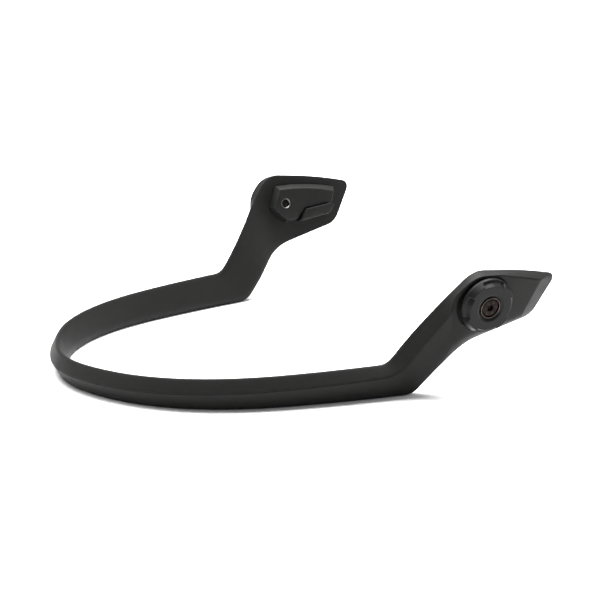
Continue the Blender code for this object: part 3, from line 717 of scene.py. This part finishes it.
class ChinGuardStage(bpy.types.PropertyGroup):
    """Floor and light"""
    floor: FloatVectorProperty(
        name="Floor", description="Colour of the floor", subtype="COLOR",
        default=(0.90, 0.90, 0.90), min=0.0, max=1.0)
    top_light: FloatProperty(
        name="Top Light", description="Power of the overhead softbox", default=60.0, min=0.0, unit="POWER")
    side_light: FloatProperty(
        name="Side Light", description="Power of each side softbox", default=4.5, min=0.0, unit="POWER")
    sky: FloatProperty(
        name="Sky", description="Strength of the even white surround", default=0.40, min=0.0, max=3.0)


# ---- pieces ----------------------------------------------------------------------------
class CHINGUARD_OT_body(bpy.types.Operator):
    """Loft the one-piece bar, arms and plates, and sink the knob pockets"""
    bl_idname = "chinguard.body"
    bl_label = "Mould Guard Body"

    def execute(self, context):
        sizes = context.scene.chin_guard_sizes
        left = guard_rings(sizes.edge_rounding)
        mirrored = [[point * (1, -1, 1) for point in ring] for ring in left[:0:-1]]
        rings = mirrored + left
        around = len(rings[0])
        verts = [Vector(((p[0] - MIDDLE) * MM, p[1] * MM, p[2] * MM)) for ring in rings for p in ring]
        faces = []
        for i in range(len(rings) - 1):
            for k in range(around):
                n = (k + 1) % around
                faces.append((i * around + k, i * around + n, (i + 1) * around + n, (i + 1) * around + k))
        last = (len(rings) - 1) * around
        faces += [tuple(range(around)), tuple(range(last, last + around))]
        body = link("guard_body_moulding", mesh_from("guard_body_moulding", verts, faces),
                    finish_of("moulded_black"))
        surface = body.modifiers.new("surface", "SUBSURF")
        surface.levels = surface.render_levels = sizes.surface_levels
        bake_modifiers(body)
        cutters = []
        for label in SIDES:
            lip = [(0.0, POCKET_FLOOR), (POCKET_R, POCKET_FLOOR), (POCKET_R, PLATE_OUTSIDE - POCKET_LIP)]
            for k in range(1, 5):
                angle = math.pi / 2 * k / 4
                lip.append((POCKET_R + POCKET_LIP * (1 - math.cos(angle)),
                            PLATE_OUTSIDE - POCKET_LIP * (1 - math.sin(angle))))
            lip += [(POCKET_R + 3.0, PLATE_OUTSIDE + 0.6), (POCKET_R + 3.0, 9.0), (0.0, 9.0)]
            cutters.append(lathe(label + "_pocket", lip, label, None, 128))
            hole = [(0.0, -3.0), (BUSHING_HOLE_R, -3.0), (BUSHING_HOLE_R, 3.0), (0.0, 3.0)]
            cutters.append(lathe(label + "_hole", hole, label, None, 64))
        cut(body, *cutters)
        smooth(body, 32.0)
        finish_piece(body, ROOT, "moulded_black", "guard_body")
        return {"FINISHED"}


class CHINGUARD_OT_blocks(bpy.types.Operator):
    """Make the locating blocks and hook rails on the plates' inner faces"""
    bl_idname = "chinguard.blocks"
    bl_label = "Make Locating Blocks"

    def execute(self, context):
        for label in SIDES:
            block = tapered(label + "_block_moulding", BLOCK_BASE, BLOCK_TOP, BLOCK_BACK, BLOCK_FACE, label,
                            finish_of("block_black"))
            soften(block, 0.42, 4)
            hole = [(0.0, -8.0), (BUSHING_NOSE_R + 0.75, -8.0), (BUSHING_NOSE_R + 0.12, BLOCK_FACE + 0.12),
                    (BUSHING_NOSE_R + 0.12, 0.0), (0.0, 0.0)]
            cut(block, lathe(label + "_block_hole", hole, label, None, 72))
            smooth(block, 32.0)
            finish_piece(block, ROOT, "block_black", label + "_locating_block")
            rail = tapered(label + "_rail_moulding", RAIL_BASE, RAIL_TOP, BLOCK_BACK, RAIL_FACE, label,
                           finish_of("block_black"))
            soften(rail, 0.45, 4)
            smooth(rail, 32.0)
            finish_piece(rail, ROOT, "block_black", label + "_hook_rail")
        return {"FINISHED"}


def grip_inset(radius, out, angle):
    """How far the finger grips sink into the rim at one point of the knob."""
    edge = smoothstep((radius - 10.2) / 1.8)
    if edge <= 0.0 or out < KNOB_RIM - 0.5:
        return 0.0
    spacing = 2 * math.pi / GRIP_COUNT
    away = (angle - GRIP_START + spacing / 2) % spacing - spacing / 2
    side = abs(away) * KNOB_FACE_R - GRIP_WIDTH / 2 * KNOB_FACE_R
    below = GRIP_LOW - out
    corner_side, corner_below = side + GRIP_CORNER, below + GRIP_CORNER
    outside = math.hypot(max(corner_side, 0.0), max(corner_below, 0.0)) - GRIP_CORNER
    return GRIP_DEPTH * edge * smoothstep(-outside / GRIP_EDGE)


def gripped(radius, out, angle):
    """A point of the knob with the finger grips sunk in."""
    return radius - grip_inset(radius, out, angle), out


def waved(radius, out, angle):
    """A point of the sprung washer, which rises and falls three times round."""
    return radius, out + WAVE_HEIGHT * math.sin(3 * angle)


class CHINGUARD_OT_knobs(bpy.types.Operator):
    """Turn the thumb knobs and sink their finger grips"""
    bl_idname = "chinguard.knobs"
    bl_label = "Make Thumb Knobs"

    def execute(self, context):
        steps = context.scene.chin_guard_sizes.knob_steps
        corners = ((SCREW_R + 0.35, HUB_BASE), (HUB_R, HUB_BASE), (HUB_R, 8.1), (12.3, 8.1),
                   (12.3, KNOB_BASE), (KNOB_RIM_R - 0.3, KNOB_BASE), (KNOB_RIM_R, KNOB_RIM),
                   (KNOB_FACE_R, KNOB_FACE), (DISH_R, KNOB_FACE), (5.55, KNOB_FACE - DISH_DEPTH),
                   (5.55, 9.6), (HEAD_R + GAP, 9.6), (HEAD_R + GAP, HEAD_BASE - GAP),
                   (SCREW_R + 0.35, HEAD_BASE - GAP))
        coarse = rounded_loop(corners, KNOB_ROUNDING, 6)
        loop = []
        for k, point in enumerate(coarse):
            after = coarse[(k + 1) % len(coarse)]
            parts = max(1, int(np.linalg.norm(after - point) / 0.34)) if min(point[1], after[1]) > 7.0 \
                and min(point[0], after[0]) > DISH_R else 1
            loop.extend(mix(point, after, part / parts) for part in range(parts))
        for label in SIDES:
            knob = lathe(label + "_knob_moulding", loop, label, finish_of("knob_black"), steps, gripped)
            smooth(knob, 40.0)
            finish_piece(knob, label + "_knob_set", "knob_black", label + "_knob")
        return {"FINISHED"}


class CHINGUARD_OT_screws(bpy.types.Operator):
    """Make the captive screws, with lobed sockets and threaded shanks, and their head rings"""
    bl_idname = "chinguard.screws"
    bl_label = "Make Screws"

    def execute(self, context):
        steps = context.scene.chin_guard_sizes.turning_steps
        bottom = HEAD_TOP - SOCKET_DEPTH
        turns = [(SCREW_R - 0.02, out) for out in np.arange(SCREW_TIP + 0.35, THREAD_TOP, PITCH / 8)]
        loop = [(0.0, bottom - 0.25), (SOCKET_R * 0.55, bottom - 0.12), (SOCKET_R - 0.1, bottom),
                (SOCKET_R, bottom + 0.12), (SOCKET_R, HEAD_TOP - 0.16), (SOCKET_R + 0.14, HEAD_TOP - 0.02),
                (SOCKET_R + 0.3, HEAD_TOP), (HEAD_R - 0.5, HEAD_TOP), (HEAD_R - 0.18, HEAD_TOP - 0.06),
                (HEAD_R - 0.04, HEAD_TOP - 0.22), (HEAD_R, HEAD_TOP - 0.4), (HEAD_R, HEAD_BASE + 0.15),
                (HEAD_R - 0.12, HEAD_BASE), (SCREW_R + 0.1, HEAD_BASE), (SCREW_R - 0.02, HEAD_BASE - 0.15),
                (SCREW_R - 0.02, THREAD_TOP + 0.1)]
        loop += turns[::-1]
        loop += [(SCREW_R - 0.3, SCREW_TIP + 0.05), (SCREW_R - 0.45, SCREW_TIP), (0.0, SCREW_TIP)]

        def shape(radius, out, angle):
            if out > bottom - 0.05 and radius < SOCKET_R + 0.32:
                lobe = SOCKET_LOBE * smoothstep((SOCKET_R + 0.34 - radius) / 0.2)
                return radius + lobe * math.cos(6 * angle) * min(radius / SOCKET_R, 1.0), out
            if out < THREAD_TOP and radius > SCREW_R - 0.1:
                wave = math.cos(2 * math.pi * out / PITCH + angle)
                return radius - SCREW_THREAD * (0.5 - 0.5 * wave), out
            return radius, out

        for label in SIDES:
            body = label + "_knob_set"
            screw = lathe(label + "_captive_screw", loop, label, finish_of("blackened_screw"), steps, shape)
            smooth(screw, 42.0)
            finish_piece(screw, body, "blackened_screw", label + "_screw")
            section = rounded_loop(band(*HEAD_RING), (0.1, 0.1, 0.2, 0.2), 6)
            ring = lathe(label + "_bright_ring", section, label, finish_of("bronzed_ring"), steps)
            smooth(ring)
            finish_piece(ring, body, "bronzed_ring", label + "_head_ring")
        return {"FINISHED"}


class CHINGUARD_OT_fittings(bpy.types.Operator):
    """Make the threaded bushings, washers, retaining rings and seals, and give the core strap its steel
    finish
    """
    bl_idname = "chinguard.fittings"
    bl_label = "Make Inner Fittings"

    def bushing(self, label, steps):
        low, high = BLOCK_FACE + 0.1, 1.5
        bore = [(BORE_R + 0.02, out) for out in np.arange(low + 0.45, high - 0.4, PITCH / 8)]
        loop = [(BORE_R + 0.3, low), (BUSHING_NOSE_R - 0.1, low), (BUSHING_NOSE_R, low + 0.1),
                (BUSHING_NOSE_R, PLATE_INSIDE - 0.05), (BUSHING_NOSE_R + 0.05, PLATE_INSIDE),
                (BUSHING_R - 0.12, PLATE_INSIDE), (BUSHING_R, PLATE_INSIDE + 0.12),
                (BUSHING_R, high - 0.12), (BUSHING_R - 0.12, high), (BORE_R + 0.3, high),
                (BORE_R + 0.05, high - 0.25)]
        loop += bore[::-1] + [(BORE_R + 0.05, low + 0.25)]

        def shape(radius, out, angle):
            if radius < BORE_R + 0.04:
                wave = math.cos(2 * math.pi * out / PITCH + angle)
                return radius + BORE_THREAD * (0.5 - 0.5 * wave), out
            return radius, out

        piece = lathe(label + "_threaded_bushing", loop, label, finish_of("steel"), steps, shape)
        smooth(piece, 42.0)
        finish_piece(piece, ROOT, "steel", label + "_bushing")

    def washers(self, label, steps):
        piece = lathe(label + "_sprung_washer", rounded_loop(band(*WAVE_WASHER), (0.1,) * 4), label,
                      finish_of("steel"), steps, waved)
        smooth(piece)
        finish_piece(piece, ROOT, "steel", label + "_wave_washer")
        piece = lathe(label + "_slide_washer", rounded_loop(band(*SLIDE_WASHER), (0.15,) * 4), label,
                      finish_of("nylon"), steps)
        smooth(piece)
        finish_piece(piece, label + "_carrier", "nylon", label + "_thrust_washer")

    def rings(self, label, steps):
        body = label + "_knob_set"

        def clip(radius, out, angle):
            notch = math.cos(3 * angle) > 0.86 and radius < 3.4
            return (radius + 0.55 if notch and radius < 2.6 else radius), out

        piece = lathe(label + "_snap_ring", rounded_loop(band(*SNAP_RING), (0.12,) * 4), label,
                      finish_of("steel"), steps, clip)
        smooth(piece, 30.0)
        finish_piece(piece, body, "steel", label + "_retaining_ring")
        seal = [(SEAL_R + SEAL_SECTION_R * math.cos(a), SEAL_PLACE + SEAL_SECTION_R * math.sin(a))
                for a in np.arange(24) * math.pi / 12]
        piece = lathe(label + "_seal", seal, label, finish_of("seal_rubber"), steps)
        smooth(piece)
        finish_piece(piece, body, "seal_rubber", label + "_o_ring")

    def execute(self, context):
        steps = context.scene.chin_guard_sizes.turning_steps
        for label in SIDES:
            self.bushing(label, steps)
            self.washers(label, steps)
            self.rings(label, steps)
        strap = frame["nodes"]["core_strap"]
        strap.data.materials.clear()
        strap.data.materials.append(finish_of("steel"))
        return {"FINISHED"}


class CHINGUARD_OT_stage(bpy.types.Operator):
    """Lay the floor, hang the soft lights and place the camera"""
    bl_idname = "chinguard.stage"
    bl_label = "Set Stage"

    def floor(self, settings):
        bm = bmesh.new()
        bmesh.ops.create_grid(bm, x_segments=8, y_segments=8, size=5.0)
        mesh = bpy.data.meshes.new("floor")
        bm.to_mesh(mesh)
        bm.free()
        material, graph, shader = new_material("finish_floor")
        place = graph.add("ShaderNodeTexCoord").outputs["Object"]
        cloud = graph.noise(place, 3.0, 3.0)
        colour = tuple(settings.floor)
        base = graph.colour(cloud, scaled(colour, 0.995), scaled(colour, 1.005))
        graph.feed(shader.inputs["Base Color"], base)
        graph.feed(shader.inputs["Roughness"], graph.spread(cloud, 0.3, 0.7, 0.85, 0.95))
        link("floor", mesh, material)

    def lamp(self, name, place, target, size, power):
        light = bpy.data.lights.new(name, "AREA")
        light.shape = "RECTANGLE"
        light.size, light.size_y = size
        light.energy = power
        obj = bpy.data.objects.new(name, light)
        bpy.context.scene.collection.objects.link(obj)
        obj.location = place
        obj.rotation_euler = (Vector(target) - Vector(place)).to_track_quat("-Z", "Y").to_euler()

    def camera(self):
        data = bpy.data.cameras.new("camera")
        data.lens, data.sensor_width = CAMERA_LENS, CAMERA_SENSOR
        camera = bpy.data.objects.new("camera", data)
        bpy.context.scene.collection.objects.link(camera)
        azimuth, elevation = CAMERA_AZIMUTH, CAMERA_ELEVATION
        ahead = Vector((-math.sin(azimuth) * math.cos(elevation), math.cos(azimuth) * math.cos(elevation),
                        -math.sin(elevation)))
        side = Vector((math.cos(azimuth), math.sin(azimuth), 0.0))
        rise = side.cross(ahead)
        turn = Matrix.Rotation(-CAMERA_ROLL, 3, ahead)
        axes = Matrix((turn @ side, turn @ rise, -ahead)).transposed()
        camera.matrix_world = Matrix.Translation(CAMERA_PLACE) @ axes.to_4x4()
        bpy.context.scene.camera = camera

    def execute(self, context):
        settings = context.scene.chin_guard_stage
        self.floor(settings)
        powers = (settings.top_light, settings.side_light, settings.side_light)
        for softbox, power in zip(SOFTBOXES, powers):
            self.lamp(*softbox, power)
        world = bpy.data.worlds.new("surround")
        world.use_nodes = True
        sky = world.node_tree.nodes["Background"]
        sky.inputs["Color"].default_value = (1.0, 1.0, 1.0, 1.0)
        sky.inputs["Strength"].default_value = settings.sky
        context.scene.world = world
        context.scene.view_settings.view_transform = "Standard"
        self.camera()
        return {"FINISHED"}


class CHINGUARD_PT_maker(bpy.types.Panel):
    """Sizes, colours and making steps of the chin guard"""
    bl_label = "Chin Guard"
    bl_idname = "CHINGUARD_PT_maker"
    bl_space_type = "VIEW_3D"
    bl_region_type = "UI"
    bl_category = "Chin Guard"

    def draw(self, context):
        for settings in (context.scene.chin_guard_sizes, context.scene.chin_guard_colours,
                         context.scene.chin_guard_stage):
            box = self.layout.box()
            for key in settings.__annotations__:
                box.prop(settings, key)
        for operator in OPERATORS:
            self.layout.operator(operator.bl_idname)


OPERATORS = (CHINGUARD_OT_stage, CHINGUARD_OT_body, CHINGUARD_OT_blocks, CHINGUARD_OT_knobs,
             CHINGUARD_OT_screws, CHINGUARD_OT_fittings)
SETTINGS = {"chin_guard_sizes": ChinGuardSizes, "chin_guard_colours": ChinGuardColours,
            "chin_guard_stage": ChinGuardStage}


def register():
    for settings in SETTINGS.values():
        bpy.utils.register_class(settings)
    for name, settings in SETTINGS.items():
        setattr(bpy.types.Scene, name, PointerProperty(type=settings))
    for operator in OPERATORS:
        bpy.utils.register_class(operator)
    bpy.utils.register_class(CHINGUARD_PT_maker)


def unregister():
    bpy.utils.unregister_class(CHINGUARD_PT_maker)
    for operator in reversed(OPERATORS):
        bpy.utils.unregister_class(operator)
    for name, settings in SETTINGS.items():
        delattr(bpy.types.Scene, name)
        bpy.utils.unregister_class(settings)


def main():
    register()
    bpy.ops.chinguard.stage()
    bpy.ops.chinguard.body()
    bpy.ops.chinguard.blocks()
    bpy.ops.chinguard.knobs()
    bpy.ops.chinguard.screws()
    bpy.ops.chinguard.fittings()


if __name__ == "__main__":
    main()
